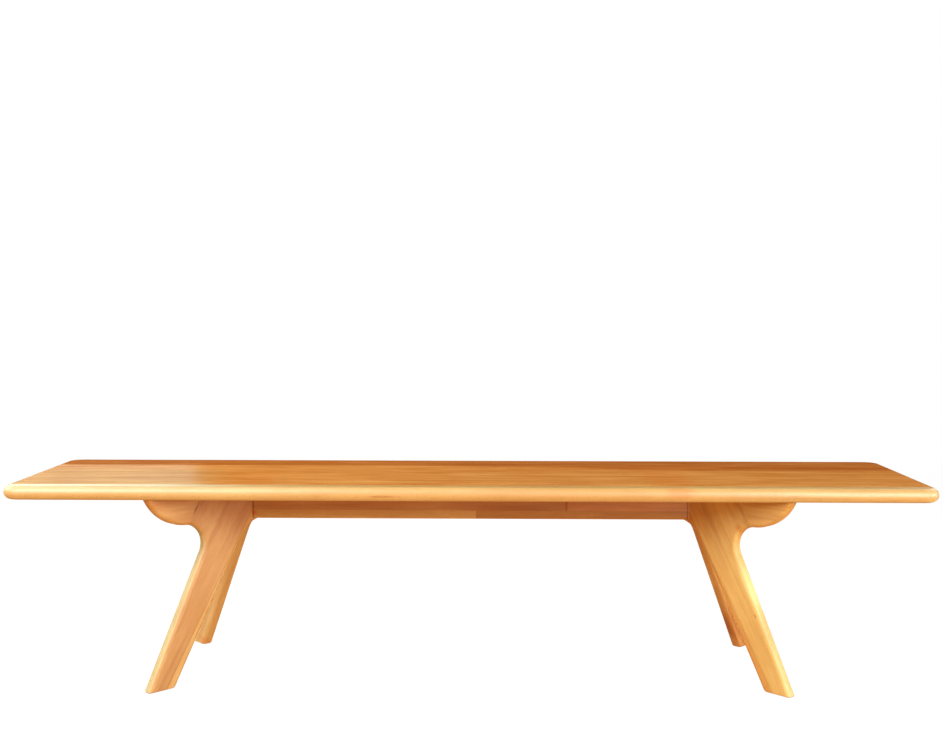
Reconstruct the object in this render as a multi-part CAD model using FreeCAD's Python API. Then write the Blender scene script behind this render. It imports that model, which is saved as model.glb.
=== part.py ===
import FreeCAD, Part
import math
import os

# Long low solid-wood table, built from glued-up boards.
# Millimetres, +Z up, +X along the length. The origin is on the floor, under the middle of the top.

# Overall size
LENGTH = 2000.0
DEPTH = 450.0
HEIGHT = 450.0

# Top: edge-glued boards, half-round rim, rounded corners
TOP_THICKNESS = 30.0
TOP_CORNER_RADIUS = 38.0
TOP_RIM_LAND = 0.4                       # narrow flat left between the two rim roundings
BOARD_JOINTS_Y = [-185.0, -105.0, -50.0, 45.0, 120.0]

# Spine beam: three layers of staves, forked at each end to take the legs
BEAM_WIDTH = 66.0
BEAM_HEIGHT = 71.0
BEAM_EDGE_RADIUS = 7.0
LOWER_LAYER = 20.0
MIDDLE_LAYER = 25.5
LOWER_JOINT_X = 14.0                     # where the two lower staves meet end to end
MIDDLE_JOINT_X = 217.0

# Legs: flat boards standing at 45 degrees to the length, splayed in their own plane
LEG_THICKNESS = 26.0
LEG_EDGE_RADIUS = 9.0
LEG_ANGLE = 45.0
FOOT_X = 671.0                           # middle of the foot
FOOT_Y = 188.0
FOOT_WIDTH = 66.0
OUTER_SLOPE = 0.48                       # how far the outer edge leans in per unit of height
INNER_SLOPE = 0.552
INNER_CURVE_RADIUS = 80.0                # from the leg's inner edge to the beam's underside
NECK_RADIUS = 46.0                       # hollow between the leg and its bearer
FOOT_CHAMFER = 2.0

# Directions, in degrees up from outward, in which each curve of the profile is certain to pass
NECK_MIDDLE = 140.0
BEARER_MIDDLE = -60.0
INNER_CURVE_MIDDLE = 60.0

# Bearers: curved blocks glued to the outside of each leg, under the top
BEARER_RADIUS = 110.0
BEARER_CENTRE_U = -71.0                  # measured in the leg's plane, outward from the foot's middle
BEARER_DROP = 66.0                       # from the top's underside to the bearer's lowest point
BEARER_JOINT_U = -101.0                  # where the glue line meets the top's underside

# Dowels between leg and bearer
DOWEL_DIAMETER = 8.0
DOWEL_LENGTH = 36.0
DOWEL_HEIGHTS = [372.0, 397.0]

# Loose tenons between leg and beam
TENON_THICKNESS = 8.0
TENON_HEIGHT = 40.0
TENON_LENGTH = 24.0

# Room for glue around dowels, tenons, inserts and glide stems, and at their ends
GLUE_GAP = 0.1
END_GAP = 0.5

# Screws that hold the top down, their washers and threaded inserts
BOLT_BEARING_Z = 395.0                   # top of the counterbores
BOLT_DIAMETER = 6.0
BOLT_LENGTH = 38.0
BOLT_HEAD_DIAMETER = 10.0
BOLT_HEAD_HEIGHT = 6.0
BOLT_SOCKET_ACROSS = 5.0
BOLT_SOCKET_DEPTH = 3.0
BOLT_HOLE_DIAMETER = 7.0
COUNTERBORE_DIAMETER = 16.0
SLOT_TRAVEL = 4.0                        # lets the top swell and shrink over the bearers
WASHER_DIAMETER = 12.0
WASHER_THICKNESS = 1.6
INSERT_DIAMETER = 11.0
INSERT_LENGTH = 13.0
INSERT_BORE_DIAMETER = 6.2
INSERT_HOLE_DEPTH = 16.0
BEAM_BOLTS_X = [-390.0, -130.0, 130.0, 390.0]
BEARER_BOLT_U = -36.0

# Glides under the feet
GLIDE_DIAMETER = 18.0
GLIDE_HEIGHT = 1.0
GLIDE_STEM_DIAMETER = 6.0
GLIDE_STEM_LENGTH = 12.0
GLIDE_HOLE_DEPTH = 14.0
GLIDE_EDGE = 0.5

UNDERSIDE = HEIGHT - TOP_THICKNESS
BEAM_BOTTOM = UNDERSIDE - BEAM_HEIGHT
UP = FreeCAD.Vector(0, 0, 1)
SMALL = 1e-6
OVERRUN = 1.0                            # how far a cutting shape reaches past the wood

# The four legs: name, side along X, side along Y
CORNERS = [
    ("front_left", -1, -1),
    ("front_right", 1, -1),
    ("rear_left", -1, 1),
    ("rear_right", 1, 1),
]


def vec(x, y, z):
    return FreeCAD.Vector(x, y, z)


def cylinder(radius, height, base, axis=UP):
    return Part.makeCylinder(radius, height, base, axis)


def box(low, high):
    return Part.makeBox(high[0] - low[0], high[1] - low[1], high[2] - low[2], vec(*low))


# ---- the leg's plane -------------------------------------------------------

def leg_out(side_x, side_y):
    """Level direction in the leg's plane, from the beam out to the foot."""
    angle = math.radians(LEG_ANGLE)
    return vec(side_x * math.cos(angle), side_y * math.sin(angle), 0)


def leg_across(side_x, side_y):
    """Level direction through the leg's thickness, towards the beam's side face."""
    angle = math.radians(LEG_ANGLE)
    return vec(-side_x * math.sin(angle), side_y * math.cos(angle), 0)


def leg_point(side_x, side_y, u, z, across=0.0):
    """Point at u outward from the foot's middle, z up and across through the thickness."""
    foot = vec(side_x * FOOT_X, side_y * FOOT_Y, 0)
    return foot + leg_out(side_x, side_y) * u + leg_across(side_x, side_y) * across + UP * z


def mitre_u():
    """Where the leg's plane reaches the middle of the table."""
    return -FOOT_Y / math.sin(math.radians(LEG_ANGLE))


def outer_u(z):
    return FOOT_WIDTH / 2 - OUTER_SLOPE * z


def inner_u(z):
    return -FOOT_WIDTH / 2 - INNER_SLOPE * z


def bearer_centre():
    return BEARER_CENTRE_U, UNDERSIDE - BEARER_DROP + BEARER_RADIUS


def neck_centre():
    """Centre of the hollow that touches the outer edge and the bearer's curve."""
    centre_u, centre_z = bearer_centre()
    reach = BEARER_RADIUS + NECK_RADIUS
    line = math.hypot(1.0, OUTER_SLOPE)
    shift = FOOT_WIDTH / 2 + NECK_RADIUS * line
    # centre is at u = shift - OUTER_SLOPE * z, and at `reach` from the bearer's centre
    a = 1 + OUTER_SLOPE ** 2
    b = -2 * OUTER_SLOPE * (shift - centre_u) - 2 * centre_z
    c = (shift - centre_u) ** 2 + centre_z ** 2 - reach ** 2
    z = (-b - math.sqrt(b * b - 4 * a * c)) / (2 * a)
    return shift - OUTER_SLOPE * z, z


def leg_profile():
    """Edges of leg and bearer together, as (u, z) points: lines of two, arcs of three."""
    bottom = GLIDE_HEIGHT
    neck_u, neck_z = neck_centre()
    bear_u, bear_z = bearer_centre()
    line = math.hypot(1.0, OUTER_SLOPE)
    on_leg = (neck_u - NECK_RADIUS / line, neck_z - NECK_RADIUS * OUTER_SLOPE / line)
    part = BEARER_RADIUS / (BEARER_RADIUS + NECK_RADIUS)
    on_bearer = (bear_u + (neck_u - bear_u) * part, bear_z + (neck_z - bear_z) * part)
    in_neck = on_circle(neck_u, neck_z, NECK_RADIUS, NECK_MIDDLE)
    half = math.sqrt(BEARER_RADIUS ** 2 - (bear_z - UNDERSIDE) ** 2)
    tip = (bear_u + half, UNDERSIDE)
    in_bearer = on_circle(bear_u, bear_z, BEARER_RADIUS, BEARER_MIDDLE)

    # the inner curve touches the inner edge and ends level at the beam's underside
    slope = math.hypot(1.0, INNER_SLOPE)
    curve_z = BEAM_BOTTOM - INNER_CURVE_RADIUS
    curve_u = inner_u(curve_z) - INNER_CURVE_RADIUS * slope
    on_inner = (curve_u + INNER_CURVE_RADIUS / slope,
                curve_z + INNER_CURVE_RADIUS * INNER_SLOPE / slope)
    in_curve = on_circle(curve_u, curve_z, INNER_CURVE_RADIUS, INNER_CURVE_MIDDLE)
    level = (curve_u, BEAM_BOTTOM)
    back_low = (back_u(), BEAM_BOTTOM)
    back_high = (back_u(), UNDERSIDE)
    foot_out = (outer_u(bottom), bottom)
    foot_in = (inner_u(bottom), bottom)
    return [
        [foot_out, on_leg],
        [on_leg, in_neck, on_bearer],
        [on_bearer, in_bearer, tip],
        [tip, back_high],
        [back_high, back_low],
        [back_low, level],
        [level, in_curve, on_inner],
        [on_inner, foot_in],
        [foot_in, foot_out],
    ]


def on_circle(centre_u, centre_z, radius, degrees):
    angle = math.radians(degrees)
    return centre_u + radius * math.cos(angle), centre_z + radius * math.sin(angle)


def back_u():
    """Back end of the leg's blank, past the mitre."""
    return mitre_u() - LEG_THICKNESS


def leg_blank(side_x, side_y):
    """Leg and bearer as one rounded board, before it is cut at the mitre and the glue line."""
    edges = []
    for points in leg_profile():
        placed = [leg_point(side_x, side_y, u, z, -LEG_THICKNESS / 2) for u, z in points]
        if len(placed) == 2:
            edges.append(Part.LineSegment(*placed).toShape())
        else:
            edges.append(Part.Arc(*placed).toShape())
    face = Part.Face(Part.Wire(edges))
    board = face.extrude(leg_across(side_x, side_y) * LEG_THICKNESS)
    long_edges = [edge for edge in board.Edges if is_long_edge(edge, side_x, side_y)]
    board = board.makeFillet(LEG_EDGE_RADIUS, long_edges)
    foot_edges = [edge for edge in board.Edges if edge.BoundBox.ZMax < GLIDE_HEIGHT + SMALL]
    return board.makeChamfer(FOOT_CHAMFER, foot_edges)


def is_long_edge(edge, side_x, side_y):
    """True for the edges that follow the profile, but not at the foot, the top or the back."""
    out = leg_out(side_x, side_y)
    across = leg_across(side_x, side_y)
    foot = leg_point(side_x, side_y, 0, 0)
    ends = [vertex.Point for vertex in edge.Vertexes]
    heights = [point.z for point in ends]
    outward = [(point - foot).dot(out) for point in ends]
    depths = [(point - foot).dot(across) for point in ends]
    through = abs(depths[0] - depths[1]) > SMALL
    at_top = min(heights) > UNDERSIDE - SMALL
    at_foot = max(heights) < GLIDE_HEIGHT + SMALL
    at_back = max(outward) < back_u() + SMALL
    return not (through or at_top or at_foot or at_back)


def bearer_side(side_x, side_y):
    """Everything on the bearer's side of the glue line between leg and bearer."""
    reach = 400.0
    foot_u = BEARER_JOINT_U + OUTER_SLOPE * reach
    over_u = BEARER_JOINT_U - OUTER_SLOPE * reach
    outline = [(foot_u, UNDERSIDE - reach), (foot_u + 2 * reach, UNDERSIDE - reach),
               (foot_u + 2 * reach, UNDERSIDE + reach), (over_u, UNDERSIDE + reach)]
    placed = [leg_point(side_x, side_y, u, z, -LEG_THICKNESS) for u, z in outline]
    face = Part.Face(Part.makePolygon(placed + placed[:1]))
    return face.extrude(leg_across(side_x, side_y) * 2 * LEG_THICKNESS)


def own_half(side_y):
    """The half of space on this leg's side of the mitre."""
    low_y = min(0, side_y * DEPTH)
    high_y = max(0, side_y * DEPTH)
    return box((-LENGTH, low_y, -OVERRUN), (LENGTH, high_y, HEIGHT))


# ---- joinery and fastenings ---------------------------------------------------

def dowels(side_x, side_y, gap=0.0, end_gap=0.0):
    """The two dowels across the glue line between leg and bearer."""
    line = math.hypot(1.0, OUTER_SLOPE)
    axis = leg_out(side_x, side_y) * (1 / line) + UP * (OUTER_SLOPE / line)
    length = DOWEL_LENGTH + 2 * end_gap
    pieces = []
    for z in DOWEL_HEIGHTS:
        u = BEARER_JOINT_U + OUTER_SLOPE * (UNDERSIDE - z)
        start = leg_point(side_x, side_y, u, z) - axis * (length / 2)
        pieces.append(cylinder(DOWEL_DIAMETER / 2 + gap, length, start, axis))
    return pieces


def tenon(side_x, side_y, gap=0.0, end_gap=0.0):
    """Loose tenon with rounded ends, from the leg's inner face into the beam's fork."""
    across = leg_across(side_x, side_y)
    along = leg_out(side_x, side_y)
    # the middle of the joint, halfway between the mitre and the beam's side face
    u = mitre_u() + BEAM_WIDTH / 4 / math.sin(math.radians(LEG_ANGLE)) - LEG_THICKNESS / 2
    middle = leg_point(side_x, side_y, u, UNDERSIDE - BEAM_HEIGHT / 2, LEG_THICKNESS / 2)
    length = TENON_LENGTH + 2 * end_gap
    start = middle - across * (length / 2)
    half = TENON_THICKNESS / 2 + gap
    low = start - UP * (TENON_HEIGHT / 2 - TENON_THICKNESS / 2)
    high = start + UP * (TENON_HEIGHT / 2 - TENON_THICKNESS / 2)
    edges = [
        Part.LineSegment(low + along * half, high + along * half).toShape(),
        Part.Arc(high + along * half, high + UP * half, high - along * half).toShape(),
        Part.LineSegment(high - along * half, low - along * half).toShape(),
        Part.Arc(low - along * half, low - UP * half, low + along * half).toShape(),
    ]
    return Part.Face(Part.Wire(edges)).extrude(across * length)


def bearer_bolt_axes():
    """Where the screws through the bearers stand, as points on the top's underside."""
    return [leg_point(sx, sy, BEARER_BOLT_U, UNDERSIDE) for _, sx, sy in CORNERS]


def beam_bolt_axes():
    return [vec(x, 0, UNDERSIDE) for x in BEAM_BOLTS_X]


def bolt_axes():
    return bearer_bolt_axes() + beam_bolt_axes()


def bolt(point):
    """Socket-head screw, head down, with its tip in the top."""
    seat = BOLT_BEARING_Z - WASHER_THICKNESS
    base = vec(point.x, point.y, seat)
    shank = cylinder(BOLT_DIAMETER / 2, BOLT_LENGTH, base)
    head_base = base - UP * BOLT_HEAD_HEIGHT
    head = cylinder(BOLT_HEAD_DIAMETER / 2, BOLT_HEAD_HEIGHT, head_base)
    corners = []
    for step in range(7):
        angle = math.radians(60 * step)
        radius = BOLT_SOCKET_ACROSS / math.sqrt(3)
        corners.append(head_base + vec(radius * math.cos(angle), radius * math.sin(angle), 0))
    socket = Part.Face(Part.makePolygon(corners)).extrude(UP * BOLT_SOCKET_DEPTH)
    return shank.fuse(head).removeSplitter().cut(socket)


def washer(point):
    base = vec(point.x, point.y, BOLT_BEARING_Z - WASHER_THICKNESS)
    disc = cylinder(WASHER_DIAMETER / 2, WASHER_THICKNESS, base)
    return disc.cut(cylinder(BOLT_HOLE_DIAMETER / 2 - GLUE_GAP, WASHER_THICKNESS, base))


def insert(point):
    base = vec(point.x, point.y, UNDERSIDE)
    sleeve = cylinder(INSERT_DIAMETER / 2, INSERT_LENGTH, base)
    return sleeve.cut(cylinder(INSERT_BORE_DIAMETER / 2, INSERT_LENGTH, base))


def bolt_passage(point, travel):
    """Counterbore and clearance slot for one screw; the slot runs along Y."""
    low = vec(point.x, point.y, BEAM_BOTTOM - OVERRUN)
    shape = cylinder(COUNTERBORE_DIAMETER / 2, BOLT_BEARING_Z - low.z, low)
    base = vec(point.x, point.y, BOLT_BEARING_Z)
    height = UNDERSIDE + OVERRUN - BOLT_BEARING_Z
    radius = BOLT_HOLE_DIAMETER / 2
    if travel == 0:
        return shape.fuse(cylinder(radius, height, base))
    for side in (-1, 1):
        shape = shape.fuse(cylinder(radius, height, base + vec(0, side * travel / 2, 0)))
    slot = box((point.x - radius, point.y - travel / 2, BOLT_BEARING_Z),
               (point.x + radius, point.y + travel / 2, UNDERSIDE + OVERRUN))
    return shape.fuse(slot).removeSplitter()


def glide(side_x, side_y):
    """Flat glide with a short stem pressed up into the foot."""
    base = leg_point(side_x, side_y, 0, 0)
    disc = cylinder(GLIDE_DIAMETER / 2, GLIDE_HEIGHT, base)
    rim = [edge for edge in disc.Edges if edge.BoundBox.ZMax < SMALL]
    disc = disc.makeFillet(GLIDE_EDGE, rim)
    stem = cylinder(GLIDE_STEM_DIAMETER / 2, GLIDE_HEIGHT + GLIDE_STEM_LENGTH, base + UP * GLIDE_EDGE)
    return disc.fuse(stem).removeSplitter()


# ---- the pieces ----------------------------------------------------------------

def leg_and_bearer(side_x, side_y):
    blank = leg_blank(side_x, side_y).common(own_half(side_y))
    outer = bearer_side(side_x, side_y)
    leg = blank.cut(outer)
    bearer = blank.common(outer)
    for hole in dowels(side_x, side_y, GLUE_GAP, END_GAP):
        leg = leg.cut(hole)
        bearer = bearer.cut(hole)
    leg = leg.cut(tenon(side_x, side_y, GLUE_GAP, END_GAP))
    stem_radius = GLIDE_STEM_DIAMETER / 2 + GLUE_GAP
    stem_base = leg_point(side_x, side_y, 0, 0)
    leg = leg.cut(cylinder(stem_radius, GLIDE_HEIGHT + GLIDE_HOLE_DEPTH, stem_base))
    axis = leg_point(side_x, side_y, BEARER_BOLT_U, UNDERSIDE)
    bearer = bearer.cut(bolt_passage(axis, SLOT_TRAVEL))
    return leg, bearer


def beam():
    """The whole spine beam, forked at both ends along the legs' inner faces."""
    half_width = BEAM_WIDTH / 2
    slope = 1 / math.tan(math.radians(LEG_ANGLE))
    offset = LEG_THICKNESS / 2 / math.sin(math.radians(LEG_ANGLE))
    notch_x = FOOT_X - FOOT_Y * slope - offset
    tip_x = notch_x + half_width * slope
    plan = [(-tip_x, -half_width), (-notch_x, 0), (-tip_x, half_width),
            (tip_x, half_width), (notch_x, 0), (tip_x, -half_width)]
    corners = [vec(x, y, BEAM_BOTTOM) for x, y in plan]
    solid = Part.Face(Part.makePolygon(corners + corners[:1])).extrude(UP * BEAM_HEIGHT)
    edges = [edge for edge in solid.Edges
             if edge.BoundBox.ZMax < BEAM_BOTTOM + SMALL and edge.BoundBox.YLength < SMALL]
    solid = solid.makeFillet(BEAM_EDGE_RADIUS, edges)
    for _, side_x, side_y in CORNERS:
        solid = solid.cut(tenon(side_x, side_y, GLUE_GAP, END_GAP))
    for axis in beam_bolt_axes():
        solid = solid.cut(bolt_passage(axis, 0))
    return solid


def beam_staves():
    whole = beam()
    lower_top = BEAM_BOTTOM + LOWER_LAYER
    middle_top = lower_top + MIDDLE_LAYER
    staves = [
        ("beam_lower_left_stave", -LENGTH, LOWER_JOINT_X, BEAM_BOTTOM, lower_top),
        ("beam_lower_right_stave", LOWER_JOINT_X, LENGTH, BEAM_BOTTOM, lower_top),
        ("beam_middle_left_stave", -LENGTH, MIDDLE_JOINT_X, lower_top, middle_top),
        ("beam_middle_right_stave", MIDDLE_JOINT_X, LENGTH, lower_top, middle_top),
        ("beam_upper_stave", -LENGTH, LENGTH, middle_top, UNDERSIDE),
    ]
    pieces = {}
    for name, low_x, high_x, low_z, high_z in staves:
        pieces[name] = whole.common(box((low_x, -DEPTH, low_z), (high_x, DEPTH, high_z)))
    return pieces


def top():
    """The whole top, before it is divided into its boards."""
    slab = box((-LENGTH / 2, -DEPTH / 2, UNDERSIDE), (LENGTH / 2, DEPTH / 2, HEIGHT))
    corners = [edge for edge in slab.Edges if edge.BoundBox.ZLength > TOP_THICKNESS / 2]
    slab = slab.makeFillet(TOP_CORNER_RADIUS, corners)
    rim = [edge for edge in slab.Edges if edge.BoundBox.ZLength < SMALL]
    slab = slab.makeFillet((TOP_THICKNESS - TOP_RIM_LAND) / 2, rim)
    for point in bolt_axes():
        base = vec(point.x, point.y, UNDERSIDE - OVERRUN)
        hole = cylinder(INSERT_DIAMETER / 2 + GLUE_GAP, INSERT_HOLE_DEPTH + OVERRUN, base)
        slab = slab.cut(hole)
    return slab


def top_boards():
    whole = top()
    lines = [-DEPTH] + BOARD_JOINTS_Y + [DEPTH]
    pieces = {}
    for number, (low_y, high_y) in enumerate(zip(lines, lines[1:]), start=1):
        part = box((-LENGTH, low_y, 0), (LENGTH, high_y, HEIGHT + OVERRUN))
        pieces["top_board_%d" % number] = whole.common(part)
    return pieces


def build():
    pieces = {}
    pieces.update(top_boards())
    pieces.update(beam_staves())
    for name, side_x, side_y in CORNERS:
        leg, bearer = leg_and_bearer(side_x, side_y)
        pieces["leg_" + name] = leg
        pieces["bearer_" + name] = bearer
        pieces["glide_" + name] = glide(side_x, side_y)
    sides = [(side_x, side_y) for _, side_x, side_y in CORNERS]
    pieces["bearer_dowels"] = Part.makeCompound([peg for side in sides for peg in dowels(*side)])
    pieces["beam_tenons"] = Part.makeCompound([tenon(*side) for side in sides])
    pieces["top_bolts"] = Part.makeCompound([bolt(point) for point in bolt_axes()])
    pieces["top_washers"] = Part.makeCompound([washer(point) for point in bolt_axes()])
    pieces["top_inserts"] = Part.makeCompound([insert(point) for point in bolt_axes()])
    return pieces


def single(shape):
    """The one solid in a shape, or the shape itself where it holds several on purpose."""
    return shape.Solids[0] if len(shape.Solids) == 1 else shape


def main():
    os.makedirs("parts", exist_ok=True)
    for name, shape in build().items():
        shape = single(shape)
        print("%-26s solids %d  valid %s  volume %.1f cm3"
              % (name, len(shape.Solids), shape.isValid(), shape.Volume / 1000))
        shape.exportStep(os.path.join("parts", name + ".step"))


main()
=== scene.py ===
import math
import random

import bpy
from mathutils import Matrix, Vector


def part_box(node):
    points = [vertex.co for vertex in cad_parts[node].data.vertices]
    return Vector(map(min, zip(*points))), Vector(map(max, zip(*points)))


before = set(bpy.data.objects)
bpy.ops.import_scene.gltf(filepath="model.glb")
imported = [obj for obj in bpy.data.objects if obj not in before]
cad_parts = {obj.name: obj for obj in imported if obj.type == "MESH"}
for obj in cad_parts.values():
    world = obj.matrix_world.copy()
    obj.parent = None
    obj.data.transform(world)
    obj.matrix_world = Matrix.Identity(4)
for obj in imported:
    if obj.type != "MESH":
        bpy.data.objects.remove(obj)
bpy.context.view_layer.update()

# Looks of a long, low solid-beech table: lacquered wood for every board, metal and nylon for the
# fastenings, and a pale studio around it. Metres, +Z up, origin on the floor under the middle.

BOARDS = sorted(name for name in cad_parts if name.startswith("top_board_"))
TABLE_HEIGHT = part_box(BOARDS[0])[1].z

UP = (0.0, 0.0, 1.0)
ALONG = (1.0, 0.0, 0.0)
FRONT = (0.0, -1.0, 0.0)
WHITE = (1.0, 1.0, 1.0)           # a tint that changes nothing


# ---- node trees ------------------------------------------------------------------------------

VECTOR, COLOUR, NUMBER = "NodeSocketVector", "NodeSocketColor", "NodeSocketFloat"
MIX_FACTOR, MIX_FIRST, MIX_SECOND = 0, 6, 7     # the Mix node's inputs when it mixes colours
MIX_RESULT = 2


def opaque(colour):
    """A colour with full alpha, as inputs want it. Another node's socket stays as it is."""
    return (*colour, 1.0) if isinstance(colour, tuple) else colour


class Tree:
    """Short calls for building a node tree. A value is either a number or another node's socket."""

    def __init__(self, tree):
        self.tree = tree

    def node(self, kind, inputs=(), **settings):
        made = self.tree.nodes.new(kind)
        for name, value in settings.items():
            setattr(made, name, value)
        self.fill(made, inputs)
        return made

    def fill(self, node, inputs):
        """Gives inputs, by name or number, their values."""
        for name, value in dict(inputs).items():
            if isinstance(value, bpy.types.NodeSocket):
                self.tree.links.new(value, node.inputs[name])
            else:
                node.inputs[name].default_value = value

    def maths(self, operation, first, second=0.0, third=0.0):
        made = self.node("ShaderNodeMath", {0: first, 1: second, 2: third}, operation=operation)
        return made.outputs[0]

    def plus(self, first, second):
        return self.maths("ADD", first, second)

    def times(self, first, second):
        return self.maths("MULTIPLY", first, second)

    def times_plus(self, value, scale, added):
        """value × scale + added."""
        return self.maths("MULTIPLY_ADD", value, scale, added)

    def vector(self, operation, first, second=(0.0, 0.0, 0.0)):
        made = self.node("ShaderNodeVectorMath", {0: first, 1: second}, operation=operation)
        return made.outputs["Value" if operation in ("DOT_PRODUCT", "LENGTH") else "Vector"]

    def split(self, vector):
        return self.node("ShaderNodeSeparateXYZ", {0: vector}).outputs

    def join(self, x, y, z):
        return self.node("ShaderNodeCombineXYZ", {0: x, 1: y, 2: z}).outputs[0]

    def noise(self, place, scale=1.0, detail=2.0, roughness=0.5, output="Fac"):
        inputs = {"Vector": place, "Scale": scale, "Detail": detail, "Roughness": roughness}
        return self.node("ShaderNodeTexNoise", inputs).outputs[output]

    def figure(self, place, along, across, **noise):
        """Noise with so many features per metre along the grain and so many across it."""
        return self.noise(self.vector("MULTIPLY", place, (along, across, across)), **noise)

    def step(self, value, zero, one):
        """Smooth from 0, where the value equals zero, to 1, where it equals one; level outside."""
        inputs = {"Value": value, "From Min": zero, "From Max": one}
        return self.node("ShaderNodeMapRange", inputs, interpolation_type="SMOOTHSTEP").outputs[0]

    def clamp(self, value):
        return self.node("ShaderNodeClamp", {"Value": value}).outputs[0]

    def mix(self, factor, first, second, blend="MIX"):
        inputs = {MIX_FACTOR: factor, MIX_FIRST: opaque(first), MIX_SECOND: opaque(second)}
        made = self.node("ShaderNodeMix", inputs, data_type="RGBA", blend_type=blend)
        return made.outputs[MIX_RESULT]


def new_material(name):
    """An empty material, its tree's helper and its shader, joined to the output."""
    material = bpy.data.materials.new(name)
    material.use_nodes = True
    material.node_tree.nodes.clear()
    tree = Tree(material.node_tree)
    shader = tree.node("ShaderNodeBsdfPrincipled")
    tree.node("ShaderNodeOutputMaterial", {"Surface": shader.outputs[0]})
    return material, tree, shader


def new_group(name, inputs, outputs):
    """A new node group's tree helper and its given values. The sockets are {name: kind}."""
    group = bpy.data.node_groups.new(name, "ShaderNodeTree")
    for sockets, direction in ((inputs, "INPUT"), (outputs, "OUTPUT")):
        for socket, kind in sockets.items():
            group.interface.new_socket(socket, in_out=direction, socket_type=kind)
    tree = Tree(group)
    return tree, tree.node("NodeGroupInput").outputs


def cover(name, material):
    """Gives a carried-over node the material."""
    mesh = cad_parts[name].data
    mesh.materials.clear()
    mesh.materials.append(material)


# ---- beech -----------------------------------------------------------------------------------
# Board coordinates: x runs along the grain, y and z across it, from the middle of the board. The
# growth rings are cylinders around a pith outside the board, and the rays run straight from it.

RING_SPACING = 0.0034
RING_DRIFT = 3.0                  # how many years the ring spacing may run fast or slow
DRIFT_CHANGES = 90.0              # how many times per metre it does so
FAINTEST_YEAR = 0.3
FLECK_LENGTH = 0.0034
FLECK_WIDTH = 0.0011
FLECK_DEPTH = 0.012
PIN_CELLS = (9.0, 34.0, 34.0)     # per metre; only a few of them hold a pin
GRAIN_WANDER = 0.030
TYPICAL_RADIUS = 0.10             # turns an angle at the pith into a distance round it

# linear red, green and blue
BEECH_LIGHT = (0.660, 0.420, 0.160)
BEECH_MID = (0.560, 0.306, 0.094)
BEECH_DARK = (0.390, 0.160, 0.036)
STREAK_COLOUR = (0.300, 0.085, 0.018)
FLECK_COLOUR = (0.260, 0.100, 0.022)

# how much each feature changes the colour
BAND_STRENGTH = 0.50
CLOUD_STRENGTH = 3.2
LATE_STRENGTH = 0.20
STREAK_STRENGTH = 0.44
STAIN_STRENGTH = 0.35
FLECK_STRENGTH = 0.34
PIN_STRENGTH = 0.55
FIBRE_STRENGTH = 0.26
END_STRENGTH = 0.30

# roughness of the lacquer, and what fibres, rays and end grain add to it
LACQUER_ROUGHNESS = 0.44
FIBRE_ROUGHNESS = 0.10
RAY_ROUGHNESS = 0.05

# relief under the lacquer: shares of the features, then the whole
FIBRE_RELIEF = 0.5
LATE_RELIEF = -0.6
FLECK_RELIEF = -0.4
RELIEF_STRENGTH = 0.35
RELIEF_DEPTH = 0.0002


def grain_radius(tree, place, field, pith):
    """Distance from the pith, round it and along it, where the grain wanders a little."""
    wander = tree.figure(field, along=1.1, across=6.0, output="Color")
    wander = tree.vector("MULTIPLY", tree.vector("SUBTRACT", wander, (0.5, 0.5, 0.5)),
                         (0.0, GRAIN_WANDER, GRAIN_WANDER))
    from_pith = tree.vector("SUBTRACT", tree.vector("ADD", place, wander), pith)
    radius = tree.vector("LENGTH", tree.vector("MULTIPLY", from_pith, (0.0, 1.0, 1.0)))
    parts = tree.split(from_pith)
    around = tree.times(tree.maths("ARCTAN2", parts["Y"], parts["Z"]), TYPICAL_RADIUS)
    return radius, around, parts["X"]


def late_wood(tree, radius):
    """0 in spring wood, rising to 1 at the thin dark line that ends each year."""
    drift = tree.noise(tree.join(radius, 0.0, 0.0), DRIFT_CHANGES, detail=1.0)
    years = tree.plus(tree.maths("DIVIDE", radius, RING_SPACING), tree.times(drift, RING_DRIFT))
    season = tree.maths("FRACT", years)
    late = tree.times(tree.step(season, zero=0.35, one=0.93), tree.step(season, zero=1.0, one=0.94))
    year = tree.node("ShaderNodeTexWhiteNoise", {"W": tree.maths("FLOOR", years)},
                     noise_dimensions="1D").outputs["Value"]
    return tree.times(late, tree.times_plus(year, 1.0 - FAINTEST_YEAR, FAINTEST_YEAR))


def spots(tree, place, rim, core, channel, none, full):
    """A spot in some cells of space: 0 at its rim, 1 in its core, faint or absent in other cells."""
    cell = tree.node("ShaderNodeTexVoronoi", {"Vector": place, "Scale": 1.0}).outputs
    chosen = tree.step(tree.split(cell["Color"])[channel], none, full)
    return tree.times(tree.step(cell["Distance"], rim, core), chosen)


def ray_flecks(tree, radius, around, along):
    """Rays: short spindles on a flat-sawn face and wider flakes on a quarter-sawn one."""
    place = tree.join(tree.maths("DIVIDE", along, FLECK_LENGTH),
                      tree.maths("DIVIDE", around, FLECK_WIDTH),
                      tree.maths("DIVIDE", radius, FLECK_DEPTH))
    return spots(tree, place, rim=0.42, core=0.22, channel="X", none=0.30, full=0.75)


def pin_marks(tree, field):
    """A few small dark pins and short marks on every board."""
    place = tree.vector("MULTIPLY", field, PIN_CELLS)
    return spots(tree, place, rim=0.085, core=0.045, channel="Y", none=0.80, full=0.84)


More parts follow.
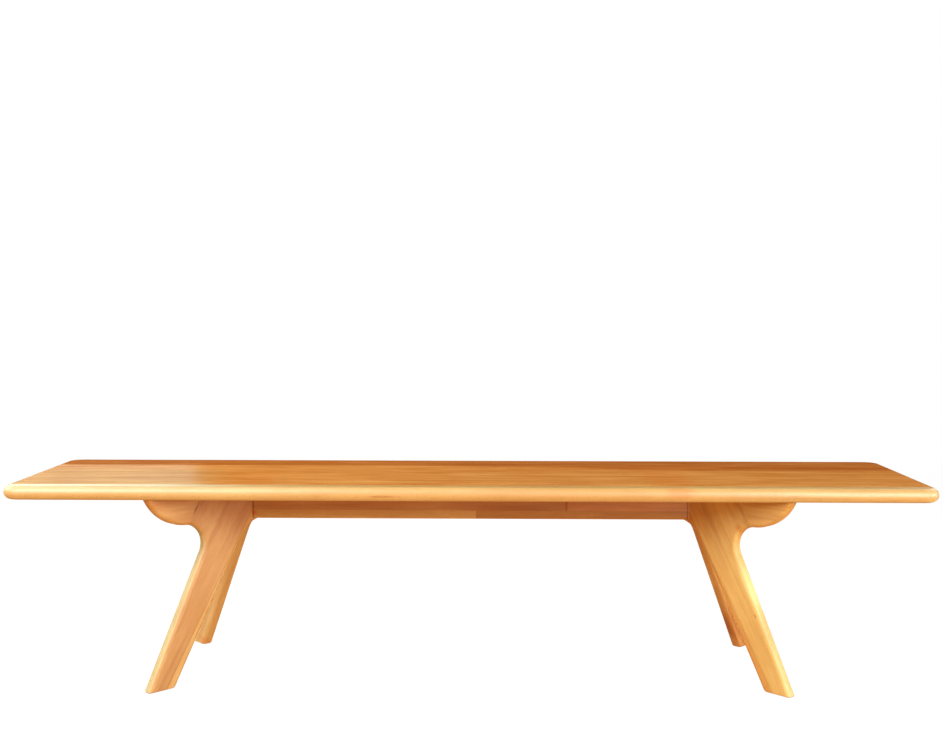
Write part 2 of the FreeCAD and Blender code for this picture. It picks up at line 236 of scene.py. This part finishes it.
def ground_colour(tree, field, late, warmth, contrast):
    """Pale to warm in broad bands and cloudy patches, with dark year lines, streaks and stains."""
    bands = tree.step(tree.figure(field, along=0.9, across=16.0), zero=0.32, one=0.68)
    patches = tree.figure(field, along=6.0, across=24.0, detail=3.0, roughness=0.65)
    clouds = tree.times_plus(patches, CLOUD_STRENGTH, -CLOUD_STRENGTH / 2)
    warm = tree.plus(warmth, tree.times(bands, BAND_STRENGTH))
    warm = tree.plus(warm, tree.times(clouds, contrast))
    colour = tree.mix(tree.clamp(warm), BEECH_LIGHT, BEECH_MID)

    streaks = tree.figure(field, along=4.0, across=90.0, detail=3.0, roughness=0.6)
    streaks = tree.step(streaks, zero=0.42, one=0.85)
    dark = tree.times_plus(late, LATE_STRENGTH, tree.times(streaks, STREAK_STRENGTH))
    colour = tree.mix(tree.clamp(tree.times(dark, contrast)), colour, BEECH_DARK)
    stains = tree.step(tree.figure(field, along=2.5, across=40.0), zero=0.54, one=0.74)
    stained = tree.times(stains, tree.times(contrast, STAIN_STRENGTH))
    return tree.mix(stained, colour, STREAK_COLOUR)


def beech_group():
    """Colour, roughness and surface height of planed and lacquered beech."""
    tree, given = new_group(
        "beech",
        {"Place": VECTOR, "Pith": VECTOR, "Offset": VECTOR, "Grain": VECTOR, "Tint": COLOUR,
         "Warmth": NUMBER, "Contrast": NUMBER, "Face": VECTOR, "Edge Tint": COLOUR},
        {"Colour": COLOUR, "Roughness": NUMBER, "Height": NUMBER})
    field = tree.vector("ADD", given["Place"], given["Offset"])
    radius, around, along = grain_radius(tree, given["Place"], field, given["Pith"])
    late = late_wood(tree, radius)
    fleck = ray_flecks(tree, radius, around, along)
    pins = pin_marks(tree, field)
    fibres = tree.figure(field, along=24.0, across=1100.0, roughness=0.6)

    # end grain drinks more lacquer and is darker, and the rounded edges take a tint of painted light
    # and shade
    normal = tree.node("ShaderNodeNewGeometry").outputs["Normal"]
    cut_across = tree.maths("ABSOLUTE", tree.vector("DOT_PRODUCT", normal, given["Grain"]))
    ends = tree.step(cut_across, zero=0.55, one=0.97)
    flat = tree.maths("ABSOLUTE", tree.vector("DOT_PRODUCT", normal, given["Face"]))
    edges = tree.step(flat, zero=0.85, one=0.45)

    colour = ground_colour(tree, field, late, given["Warmth"], given["Contrast"])
    colour = tree.mix(tree.times(fleck, FLECK_STRENGTH), colour, FLECK_COLOUR)
    colour = tree.mix(tree.times(pins, PIN_STRENGTH), colour, STREAK_COLOUR)
    shade = tree.times_plus(fibres, FIBRE_STRENGTH, 1.0 - FIBRE_STRENGTH / 2)
    colour = tree.mix(1.0, colour, tree.join(shade, shade, shade), "MULTIPLY")
    colour = tree.mix(tree.times(ends, END_STRENGTH), colour, BEECH_DARK)
    colour = tree.mix(1.0, colour, given["Tint"], "MULTIPLY")
    colour = tree.mix(edges, colour, given["Edge Tint"], "MULTIPLY")

    rough = tree.times_plus(fibres, FIBRE_ROUGHNESS, LACQUER_ROUGHNESS)
    rough = tree.plus(rough, tree.times(tree.plus(fleck, ends), RAY_ROUGHNESS))
    height = tree.plus(tree.times(fibres, FIBRE_RELIEF), tree.times(late, LATE_RELIEF))
    height = tree.plus(height, tree.times(fleck, FLECK_RELIEF))
    tree.node("NodeGroupOutput", {"Colour": colour, "Roughness": rough, "Height": height})
    return tree.tree


def mark_group():
    """1 in the middle of one soft and ragged mark, 0 outside it."""
    tree, given = new_group(
        "mark",
        {"Place": VECTOR, "Offset": VECTOR, "Centre": VECTOR, "Size": VECTOR, "Softness": NUMBER},
        {"Amount": NUMBER})
    away = tree.vector("SUBTRACT", given["Place"], given["Centre"])
    away = tree.vector("LENGTH", tree.vector("DIVIDE", away, given["Size"]))
    field = tree.vector("ADD", given["Place"], given["Offset"])
    ragged = tree.maths("SUBTRACT", tree.figure(field, along=40.0, across=260.0), 0.5)
    away = tree.times_plus(ragged, given["Softness"], away)
    half = tree.times(given["Softness"], 0.5)
    outside, inside = tree.plus(1.0, half), tree.maths("SUBTRACT", 1.0, half)
    tree.node("NodeGroupOutput", {"Amount": tree.step(away, zero=outside, one=inside)})
    return tree.tree


# ---- the boards' own looks -------------------------------------------------------------------

# Gloss of the lacquer: specular level, coat weight, coat roughness.
RUBBED = (0.00, 0.12, 0.20)       # the flat of the top
WORN = (0.00, 0.02, 0.25)         # its rear board
THICK = (0.95, 0.45, 0.42)        # its front board, with the rounded edge
SPRAYED = (0.50, 0.25, 0.38)      # everything else
GLOSSES = {name: RUBBED for name in BOARDS} | {BOARDS[0]: THICK, BOARDS[-1]: WORN}

# Every board's tint, warmth and contrast; the top's boards are numbered from the front.
TOP_HUES = {
    "top_board_1": ((0.97, 0.97, 0.88), 0.20, 0.45),
    "top_board_2": ((0.88, 0.59, 0.39), 0.25, 1.30),
    "top_board_3": ((0.87, 0.58, 0.39), 0.25, 1.20),
    "top_board_4": ((0.87, 0.57, 0.37), 0.25, 1.20),
    "top_board_5": ((0.87, 0.55, 0.35), 0.20, 1.20),
    "top_board_6": ((0.69, 0.38, 0.24), 0.50, 1.30),
}
BEAM_HUES = {
    "beam_upper_stave": ((0.95, 0.82, 0.72), 0.35, 1.00),
    "beam_middle_left_stave": ((0.81, 0.62, 0.52), 0.35, 1.00),
    "beam_middle_right_stave": ((0.82, 0.58, 0.48), 0.30, 1.10),
    "beam_lower_left_stave": ((0.98, 0.97, 0.84), 0.35, 0.80),
    "beam_lower_right_stave": ((0.74, 0.58, 0.34), 0.40, 1.00),
}
LEG_HUES = {
    "leg_front_left": ((0.92, 0.82, 0.78), 0.30, 0.80),
    "leg_front_right": ((1.10, 1.17, 0.98), 0.20, 0.80),
    "leg_rear_left": ((1.16, 1.27, 1.48), 0.30, 0.90),
    "leg_rear_right": ((0.94, 0.90, 0.80), 0.50, 1.60),
}
BEARER_HUES = {
    "bearer_front_left": ((0.97, 0.88, 0.76), 0.35, 0.90),
    "bearer_front_right": ((1.10, 1.14, 0.98), 0.35, 0.90),
    "bearer_rear_left": ((1.00, 0.94, 0.84), 0.35, 0.90),
    "bearer_rear_right": ((1.00, 0.94, 0.84), 0.35, 0.90),
}
INNER_HUE = ((1.10, 1.25, 1.60), 0.00, 0.80)        # dowels and tenons

# Painted light and shade on the rounded edges, on top of the board's own tint: a painted highlight on
# the left front leg's edges, and painted shade on the rear legs' edges.
EDGE_LIGHT_AND_SHADE = {
    "leg_front_left": (1.00, 1.42, 1.78),
    "leg_front_right": (1.00, 0.98, 1.02),
    "leg_rear_left": (0.86, 0.84, 0.72),
    "leg_rear_right": (1.00, 0.98, 0.92),
}

# Tints of single marks.
DARK_STREAK = (0.80, 0.63, 0.48)
RED_FLUSH = (0.96, 0.72, 0.58)
PALE_FLUSH = (0.99, 0.82, 0.72)
GLUE_LINE = (0.55, 0.38, 0.26)
CREASE = (0.84, 0.74, 0.64)
SHADED_NECK = (0.90, 0.76, 0.58)
WARM_ZONE = (1.00, 0.91, 0.80)
COOL_ZONE = (0.92, 0.99, 1.02)
WARM_MIDDLE = (0.96, 0.88, 0.78)
WARM_ARRIS = (0.96, 0.86, 0.62)
# painted light: the underside of the top's rounded front edge made paler, as if lit from below
PAINTED_LIGHT_UNDERSIDE = (1.10, 1.26, 1.36)
BROWN_BAND = (0.90, 0.80, 0.70)
PALE_BAND = (1.05, 1.16, 1.25)
DARK_END = (0.80, 0.60, 0.45)
OLIVE_END = (0.88, 0.80, 0.62)
# painted light: the left front leg's inner stave made paler, where a facet the model lacks would catch
# the light
PAINTED_LIGHT_STAVE = (1.16, 1.34, 1.36)
# painted shade: the right front leg's inner stave made darker, where that facet would turn from the
# light
PAINTED_SHADE_STAVE = (0.90, 0.69, 0.52)
PALE_STRIPE = (1.14, 1.28, 1.45)
# painted highlight on the right front leg's rounded outer edge
PAINTED_HIGHLIGHT_PATCH = (1.04, 1.28, 1.50)
BROWN_FOOT = (0.88, 0.72, 0.62)
BEAM_STAIN = (0.72, 0.50, 0.38)
RED_KNOT = (1.10, 0.52, 0.36)

# A single mark, of the wood itself or of painted light and shade: its middle as a point of the table,
# half its size along the grain, across it and through the board, its tint, and how softly it ends.
EVERY_WAY = 0.5                   # half of a size that takes in the whole board
SOFT = 0.9
CRISP = 0.12
JOINT_X = 0.4935                  # where the beam runs into the legs


def front_corner_marks(side, stave):
    """What both front legs have: an inner stave tinted as painted light on the left leg and painted
    shade on the right, a crease along it, and a neck with painted shade under the top.
    """
    return (((side * 0.5699, -0.1053, 0.1500), (1.200, 0.0256, EVERY_WAY), stave, CRISP),
            ((side * 0.5914, -0.1268, 0.1500), (1.200, 0.0011, EVERY_WAY), CREASE, SOFT),
            ((side * 0.5350, -0.0650, 0.4250), (0.075, EVERY_WAY, EVERY_WAY), SHADED_NECK, SOFT))


def bearer_marks(side):
    """The shade on a front bearer, under the top's rim."""
    return (((side * 0.6400, -0.1750, 0.4250), (EVERY_WAY, 0.024, EVERY_WAY), SHADED_NECK, SOFT),)


ZONES = tuple(((x, 0.0, TABLE_HEIGHT), (size, EVERY_WAY, EVERY_WAY), tint, SOFT)
              for x, size, tint in ((-0.50, 0.06, WARM_ZONE), (0.44, 0.05, WARM_ZONE),
                                    (-0.80, 0.28, COOL_ZONE)))
BEAM_ENDS = tuple(((x, 0.0, TABLE_HEIGHT), (0.0015, EVERY_WAY, EVERY_WAY), GLUE_LINE, SOFT)
                  for x in (-JOINT_X, JOINT_X))

MARKS = {
    "top_board_1": (
        ((0.4475, -0.2199, 0.4440), (0.028, 0.016, 0.016), PALE_FLUSH, SOFT),
        ((-0.1850, -0.2250, 0.4315), (0.026, 0.003, 0.0022), DARK_STREAK, SOFT),
        ((0.0, -0.190, TABLE_HEIGHT), (1.650, 0.016, 0.0020), WARM_ARRIS, SOFT),
        # painted light under the rounded front edge
        ((0.0, -0.215, 0.4210), (3.000, 0.030, 0.0070), PAINTED_LIGHT_UNDERSIDE, SOFT),
        ((0.03, -0.225, 0.4350), (0.420, 0.050, 0.050), WARM_MIDDLE, SOFT)),
    "top_board_2": (
        ((-0.15, -0.172, TABLE_HEIGHT), (0.300, 0.008, 0.011), BROWN_BAND, SOFT),
        ((-0.15, -0.135, TABLE_HEIGHT), (0.190, 0.009, 0.011), PALE_BAND, SOFT),
        *ZONES),
    "top_board_3": ZONES,
    "top_board_4": ZONES,
    "top_board_5": (
        ((0.70, 0.100, TABLE_HEIGHT), (0.520, 0.052, 0.030), DARK_END, SOFT),),
    "top_board_6": (
        ((-0.80, 0.170, TABLE_HEIGHT), (0.400, EVERY_WAY, EVERY_WAY), OLIVE_END, SOFT),),
    "leg_front_left": (
        *front_corner_marks(-1, PAINTED_LIGHT_STAVE),
        ((-0.5985, -0.1340, 0.3900), (0.014, 0.0014, EVERY_WAY), GLUE_LINE, SOFT),
        ((-0.6000, -0.1355, 0.3885), (0.004, 0.0026, EVERY_WAY), DARK_STREAK, SOFT),
        ((-0.5725, -0.1080, 0.1790), (0.005, 0.002, 0.004), DARK_STREAK, SOFT)),
    "leg_front_right": (
        *front_corner_marks(1, PAINTED_SHADE_STAVE),
        ((0.5915, -0.1270, 0.3830), (0.018, 0.0035, EVERY_WAY), PALE_STRIPE, SOFT),
        ((0.5902, -0.1255, 0.3480), (0.010, 0.006, EVERY_WAY), RED_FLUSH, SOFT),
        # painted highlight on the rounded outer edge
        ((0.6150, -0.1380, 0.2250), (0.045, 0.012, EVERY_WAY), PAINTED_HIGHLIGHT_PATCH, SOFT),
        ((0.6226, -0.1581, 0.1619), (0.004, 0.002, 0.003), DARK_STREAK, SOFT)),
    "leg_rear_left": (
        ((-0.6500, 0.1560, 0.0040), (0.012, 0.040, EVERY_WAY), PALE_FLUSH, SOFT),),
    "leg_rear_right": (
        ((0.6450, 0.1440, 0.0400), (0.070, 0.040, EVERY_WAY), BROWN_FOOT, SOFT),
        ((0.6351, 0.1337, 0.0739), (0.060, 0.0018, EVERY_WAY), DARK_STREAK, SOFT),
        ((0.6420, 0.1410, 0.0400), (0.050, 0.0015, EVERY_WAY), DARK_STREAK, SOFT)),
    "bearer_front_left": bearer_marks(-1),
    "bearer_front_right": bearer_marks(1),
    "beam_upper_stave": BEAM_ENDS,
    "beam_middle_left_stave": BEAM_ENDS,
    "beam_middle_right_stave": (
        ((0.2190, -0.033, 0.3770), (0.003, EVERY_WAY, 0.008), BEAM_STAIN, SOFT),
        *BEAM_ENDS),
    "beam_lower_left_stave": (
        ((-0.4910, -0.033, 0.3625), (0.006, 0.005, EVERY_WAY), RED_KNOT, SOFT),
        *BEAM_ENDS),
    "beam_lower_right_stave": BEAM_ENDS,
}


# ---- wood on the boards ----------------------------------------------------------------------

BEECH = beech_group()
MARK = mark_group()
PITH_SWAY = 0.05                  # how far sideways from the board's middle its pith may lie
PITH_DISTANCES = (0.055, 0.110)   # and how far away, through the board
OFFSET_SPREAD = 40.0              # wide enough that no two boards share their figure
LACQUER_IOR = 1.5
LEG_ANGLE = math.radians(45.0)
LEG_LEAN = 0.610                  # how far the leg's fibres move inward for each unit of height


def beech(name, grain, face, hue):
    """Lacquered beech for one board. grain and face are the directions of its fibres and flat side."""
    tint, warmth, contrast = hue
    chance = random.Random(name)
    low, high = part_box(name)
    middle = (Vector(low) + Vector(high)) / 2
    grain = Vector(grain).normalized()
    side = Vector(face).cross(grain).normalized()
    through = grain.cross(side)
    turn = Matrix((grain, side, through))
    material, tree, shader = new_material("beech_" + name)
    place = tree.node("ShaderNodeMapping", {
        "Vector": tree.node("ShaderNodeTexCoord").outputs["Object"],
        "Location": -(turn @ middle),
        "Rotation": turn.to_euler()}).outputs[0]
    pith = (0.0, chance.uniform(-PITH_SWAY, PITH_SWAY), -chance.uniform(*PITH_DISTANCES))
    offset = [chance.uniform(0.0, OFFSET_SPREAD) for _ in range(3)]
    wood = tree.node("ShaderNodeGroup", {
        "Place": place, "Pith": pith, "Offset": offset, "Grain": grain, "Face": through,
        "Tint": opaque(tint), "Edge Tint": opaque(EDGE_LIGHT_AND_SHADE.get(name, WHITE)),
        "Warmth": warmth, "Contrast": contrast}, node_tree=BEECH).outputs
    colour = wood["Colour"]
    for point, size, mark_tint, softness in MARKS.get(name, ()):
        mark = tree.node("ShaderNodeGroup", {
            "Place": place, "Offset": offset, "Centre": turn @ (Vector(point) - middle),
            "Size": size, "Softness": softness}, node_tree=MARK).outputs
        colour = tree.mix(mark["Amount"], colour, mark_tint, "MULTIPLY")
    bump = tree.node("ShaderNodeBump", {"Height": wood["Height"], "Strength": RELIEF_STRENGTH,
                                        "Distance": RELIEF_DEPTH})
    specular, coat, coat_roughness = GLOSSES.get(name, SPRAYED)
    tree.fill(shader, {
        "Base Color": colour,
        "Roughness": wood["Roughness"],
        "Normal": bump.outputs[0],
        "IOR": LACQUER_IOR,
        "Specular IOR Level": specular,
        "Coat Weight": coat,
        "Coat Roughness": coat_roughness})
    return material


def leg_directions(name):
    """The outward direction of a leg's plane, and the direction through its thickness."""
    low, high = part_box(name)
    out = Vector((math.copysign(math.cos(LEG_ANGLE), low.x + high.x),
                  math.copysign(math.sin(LEG_ANGLE), low.y + high.y), 0.0))
    return out, Vector(UP).cross(out)


def finish_wood():
    """Beech for every wooden node, with the grain along its board."""
    boards = [(name, ALONG, UP, hue) for name, hue in TOP_HUES.items()]
    boards += [(name, ALONG, FRONT, hue) for name, hue in BEAM_HUES.items()]
    boards += [(name, ALONG, UP, INNER_HUE) for name in ("bearer_dowels", "beam_tenons")]
    for name, hue in LEG_HUES.items():
        out, through = leg_directions(name)
        boards.append((name, Vector(UP) - LEG_LEAN * out, through, hue))
        bearer = name.replace("leg", "bearer")
        boards.append((bearer, out, through, BEARER_HUES[bearer]))
    for name, grain, face, hue in boards:
        cover(name, beech(name, grain, face, hue))


# ---- metal and nylon -------------------------------------------------------------------------

PLATING_CLOUDS = 160.0            # per metre
TURNING_MARKS = (900.0, 900.0, 5200.0)      # per metre, finest up the screw
CLOUD_SHARE = 0.7
CLOUD_ROUGHNESS = 0.22
TURNING_STRENGTH = 0.2
TURNING_DEPTH = 0.00005

SPARKS = 2400.0                   # per metre; the pits that spark erosion leaves in a mould
SPARK_ROUGHNESS = 0.14
SPARK_STRENGTH = 0.3
SPARK_DEPTH = 0.00006
NYLON_ROUGHNESS = 0.42
SCUFF_STRENGTH = 0.5


def metal(name, colour, darker, roughness):
    """Plated metal: faint turning marks, cloudy plating and small stains."""
    material, tree, shader = new_material(name)
    place = tree.node("ShaderNodeTexCoord").outputs["Object"]
    clouds = tree.noise(place, PLATING_CLOUDS, detail=3.0)
    marks = tree.noise(tree.vector("MULTIPLY", place, TURNING_MARKS))
    shade = tree.times_plus(clouds, CLOUD_SHARE, tree.times(marks, 1.0 - CLOUD_SHARE))
    bump = tree.node("ShaderNodeBump", {"Height": marks, "Strength": TURNING_STRENGTH,
                                        "Distance": TURNING_DEPTH})
    tree.fill(shader, {
        "Base Color": tree.mix(tree.step(shade, zero=0.3, one=0.7), colour, darker),
        "Metallic": 1.0,
        "Roughness": tree.times_plus(shade, CLOUD_ROUGHNESS, roughness),
        "Normal": bump.outputs[0]})
    return material


def nylon(name, colour, scuffed):
    """Moulded nylon with a fine sparked texture, rubbed paler where it slides on the floor."""
    material, tree, shader = new_material(name)
    place = tree.node("ShaderNodeTexCoord").outputs["Object"]
    sparks = tree.noise(place, SPARKS, detail=3.0)
    scuffs = tree.figure(place, along=140.0, across=420.0, detail=3.0)
    scuffs = tree.times(tree.step(scuffs, zero=0.50, one=0.72), SCUFF_STRENGTH)
    bump = tree.node("ShaderNodeBump", {"Height": sparks, "Strength": SPARK_STRENGTH,
                                        "Distance": SPARK_DEPTH})
    tree.fill(shader, {
        "Base Color": tree.mix(scuffs, colour, scuffed),
        "Roughness": tree.times_plus(sparks, SPARK_ROUGHNESS, NYLON_ROUGHNESS),
        "Normal": bump.outputs[0]})
    return material


def finish_fastenings():
    """Zinc-plated bolts and washers, brass inserts and nylon glides."""
    zinc = metal("zinc_plate", colour=(0.62, 0.64, 0.66), darker=(0.50, 0.51, 0.50), roughness=0.26)
    brass = metal("turned_brass", colour=(0.76, 0.55, 0.24), darker=(0.58, 0.38, 0.14), roughness=0.24)
    glide = nylon("glide_nylon", colour=(0.50, 0.40, 0.27), scuffed=(0.66, 0.56, 0.42))
    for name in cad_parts:
        if name in ("top_bolts", "top_washers"):
            cover(name, zinc)
        elif name == "top_inserts":
            cover(name, brass)
        elif name.startswith("glide_"):
            cover(name, glide)


# ---- studio ----------------------------------------------------------------------------------

STUDIO_RADIUS = 40.0
STUDIO_SIDES = 64
FLOOR_MIDDLE = 2.0                # radius of the floor's innermost ring
FLOOR_BEND = 4.0                  # radius of the turn from the floor into the wall
BEND_STEPS = 10
DOME = ((1.0, 12.0), (0.8, 26.0), (0.4, 34.0))      # share of the studio's radius, and height
DOME_TOP = 37.0

PAPER_GLOW = 0.93
PAPER_TONE = 0.10
PAPER_CLOUDS = 3.0                # per metre
PAPER_CLOUD_TONE = 0.02
PAPER_FADE = (1.6, 4.5)           # the distances between which the paper turns to pure glow

# the light of the surroundings, above and below the horizon, and how far the two blend
AIR_ABOVE = (0.045, 0.036, 0.028)
AIR_BELOW = (0.860, 0.415, 0.145)
HORIZON_BLUR = 0.15

CAMERA_PLACE = (0.0461, -2.7522, 0.8490)
CAMERA_YAW = math.radians(-0.920)       # clockwise seen from above, from looking along +Y
CAMERA_PITCH = math.radians(3.486)      # downwards
CAMERA_ROLL = math.radians(0.066)
CAMERA_LENS = 46.13                     # millimetres

LIGHT_TARGET_HEIGHT = TABLE_HEIGHT * 0.8
# name, azimuth and elevation in degrees, distance, width and height in metres, watts, colour
LIGHTS = (
    ("key_left", -43.0, 34.0, 3.6, 1.2, 2.6, 140.0, WHITE),
    ("key_right", 38.0, 19.0, 3.6, 1.3, 2.4, 112.0, WHITE),
    ("side_right", 78.0, 8.0, 3.4, 1.4, 1.1, 42.0, (0.95, 1.04, 1.02)),
    ("side_left", -100.0, 20.0, 3.2, 1.4, 1.1, 34.0, (0.80, 1.10, 1.10)),
    ("high_left", -95.0, 55.0, 2.6, 1.2, 1.2, 18.0, (0.90, 1.06, 1.02)),
    ("overhead", 0.0, 88.0, 2.5, 2.5, 1.6, 3.0, WHITE),
    ("rear_left", -125.0, 25.0, 3.4, 1.4, 1.1, 20.0, WHITE),
    ("rear_right", 125.0, 25.0, 3.4, 1.4, 1.1, 20.0, WHITE),
    ("window_left", -148.9, 15.5, 4.2, 1.3, 1.2, 19.0, (0.60, 1.12, 1.06)),
)


def pale_surface():
    """White paper that glows evenly, and near the table takes some real shading as well."""
    material, tree, shader = new_material("studio_paper")
    place = tree.node("ShaderNodeTexCoord").outputs["Object"]
    far = tree.step(tree.vector("LENGTH", place), *PAPER_FADE)
    clouds = tree.noise(place, PAPER_CLOUDS, detail=3.0)
    tone = tree.times_plus(clouds, PAPER_CLOUD_TONE, PAPER_TONE)
    tone = tree.times(tone, tree.maths("SUBTRACT", 1.0, far))
    glow = tree.times_plus(far, 1.0 - PAPER_GLOW, PAPER_GLOW)
    tree.fill(shader, {
        "Base Color": tree.join(tone, tone, tone),
        "Emission Color": tree.join(glow, glow, glow),
        "Emission Strength": 1.0,
        "Roughness": 0.9,
        "Specular IOR Level": 0.0})
    return material


def studio_rings():
    """Radius and height of each ring of the studio, from the middle of the floor to the dome."""
    flat = STUDIO_RADIUS - FLOOR_BEND
    rings = [(FLOOR_MIDDLE, 0.0), (flat, 0.0)]
    for i in range(1, BEND_STEPS + 1):
        angle = math.radians(90.0) * i / BEND_STEPS
        rings.append((flat + FLOOR_BEND * math.sin(angle), FLOOR_BEND * (1.0 - math.cos(angle))))
    return rings + [(STUDIO_RADIUS * share, height) for share, height in DOME]


def studio_shell():
    """A round floor that turns up into a dome, so that every view has the same pale ground."""
    rings = studio_rings()
    angles = [math.tau * k / STUDIO_SIDES for k in range(STUDIO_SIDES)]
    verts = [(r * math.cos(angle), r * math.sin(angle), z) for r, z in rings for angle in angles]
    middle, crown = len(verts), len(verts) + 1
    verts += [(0.0, 0.0, 0.0), (0.0, 0.0, DOME_TOP)]
    starts = [i * STUDIO_SIDES for i in range(len(rings))]
    around = [(k, (k + 1) % STUDIO_SIDES) for k in range(STUDIO_SIDES)]
    faces = [(inner + k, inner + after, outer + after, outer + k)
             for inner, outer in zip(starts, starts[1:]) for k, after in around]
    faces += [(middle, after, k) for k, after in around]
    faces += [(crown, starts[-1] + k, starts[-1] + after) for k, after in around]
    mesh = bpy.data.meshes.new("studio_floor")
    mesh.from_pydata(verts, [], faces)
    mesh.polygons.foreach_set("use_smooth", [True] * len(faces))
    mesh.materials.append(pale_surface())
    shell = bpy.data.objects.new("studio_floor", mesh)
    bpy.context.scene.collection.objects.link(shell)
    shell.visible_diffuse = False
    shell.visible_glossy = False
    shell.visible_shadow = False


def softbox(name, azimuth, elevation, distance, width, height, watts, colour):
    """A soft light aimed at the table. Azimuth 0 is in front, 90 to the right; both in degrees."""
    around, up = math.radians(azimuth), math.radians(elevation)
    away = Vector((math.sin(around) * math.cos(up), -math.cos(around) * math.cos(up), math.sin(up)))
    data = bpy.data.lights.new(name, "AREA")
    data.shape = "RECTANGLE"
    data.size = width
    data.size_y = height
    data.energy = watts
    data.color = colour
    lamp = bpy.data.objects.new(name, data)
    lamp.location = Vector((0.0, 0.0, LIGHT_TARGET_HEIGHT)) + away * distance
    lamp.rotation_mode = "QUATERNION"
    lamp.rotation_quaternion = (-away).to_track_quat("-Z", "Y")
    lamp.visible_camera = False
    bpy.context.scene.collection.objects.link(lamp)


def world_light():
    """Faint light from above and all round, and warm light bounced up from below."""
    world = bpy.data.worlds.new("studio_air")
    world.use_nodes = True
    world.node_tree.nodes.clear()
    tree = Tree(world.node_tree)
    height = tree.split(tree.node("ShaderNodeTexCoord").outputs["Generated"])["Z"]
    colour = tree.mix(tree.step(height, -HORIZON_BLUR, HORIZON_BLUR), AIR_BELOW, AIR_ABOVE)
    glow = tree.node("ShaderNodeBackground", {"Color": colour, "Strength": 1.0})
    tree.node("ShaderNodeOutputWorld", {"Surface": glow.outputs[0]})
    bpy.context.scene.world = world


def make_camera():
    """A camera where the photograph's stood, looking the same way through the same lens."""
    data = bpy.data.cameras.new("camera")
    data.lens = CAMERA_LENS
    data.clip_end = 4.0 * STUDIO_RADIUS
    camera = bpy.data.objects.new("camera", data)
    turn = (Matrix.Rotation(-CAMERA_YAW, 4, "Z")
            @ Matrix.Rotation(math.radians(90.0) - CAMERA_PITCH, 4, "X")
            @ Matrix.Rotation(CAMERA_ROLL, 4, "Z"))
    camera.matrix_world = Matrix.Translation(CAMERA_PLACE) @ turn
    bpy.context.scene.collection.objects.link(camera)
    bpy.context.scene.camera = camera


finish_wood()
finish_fastenings()
studio_shell()
world_light()
for light in LIGHTS:
    softbox(*light)
make_camera()
bpy.context.scene.view_settings.view_transform = "Standard"
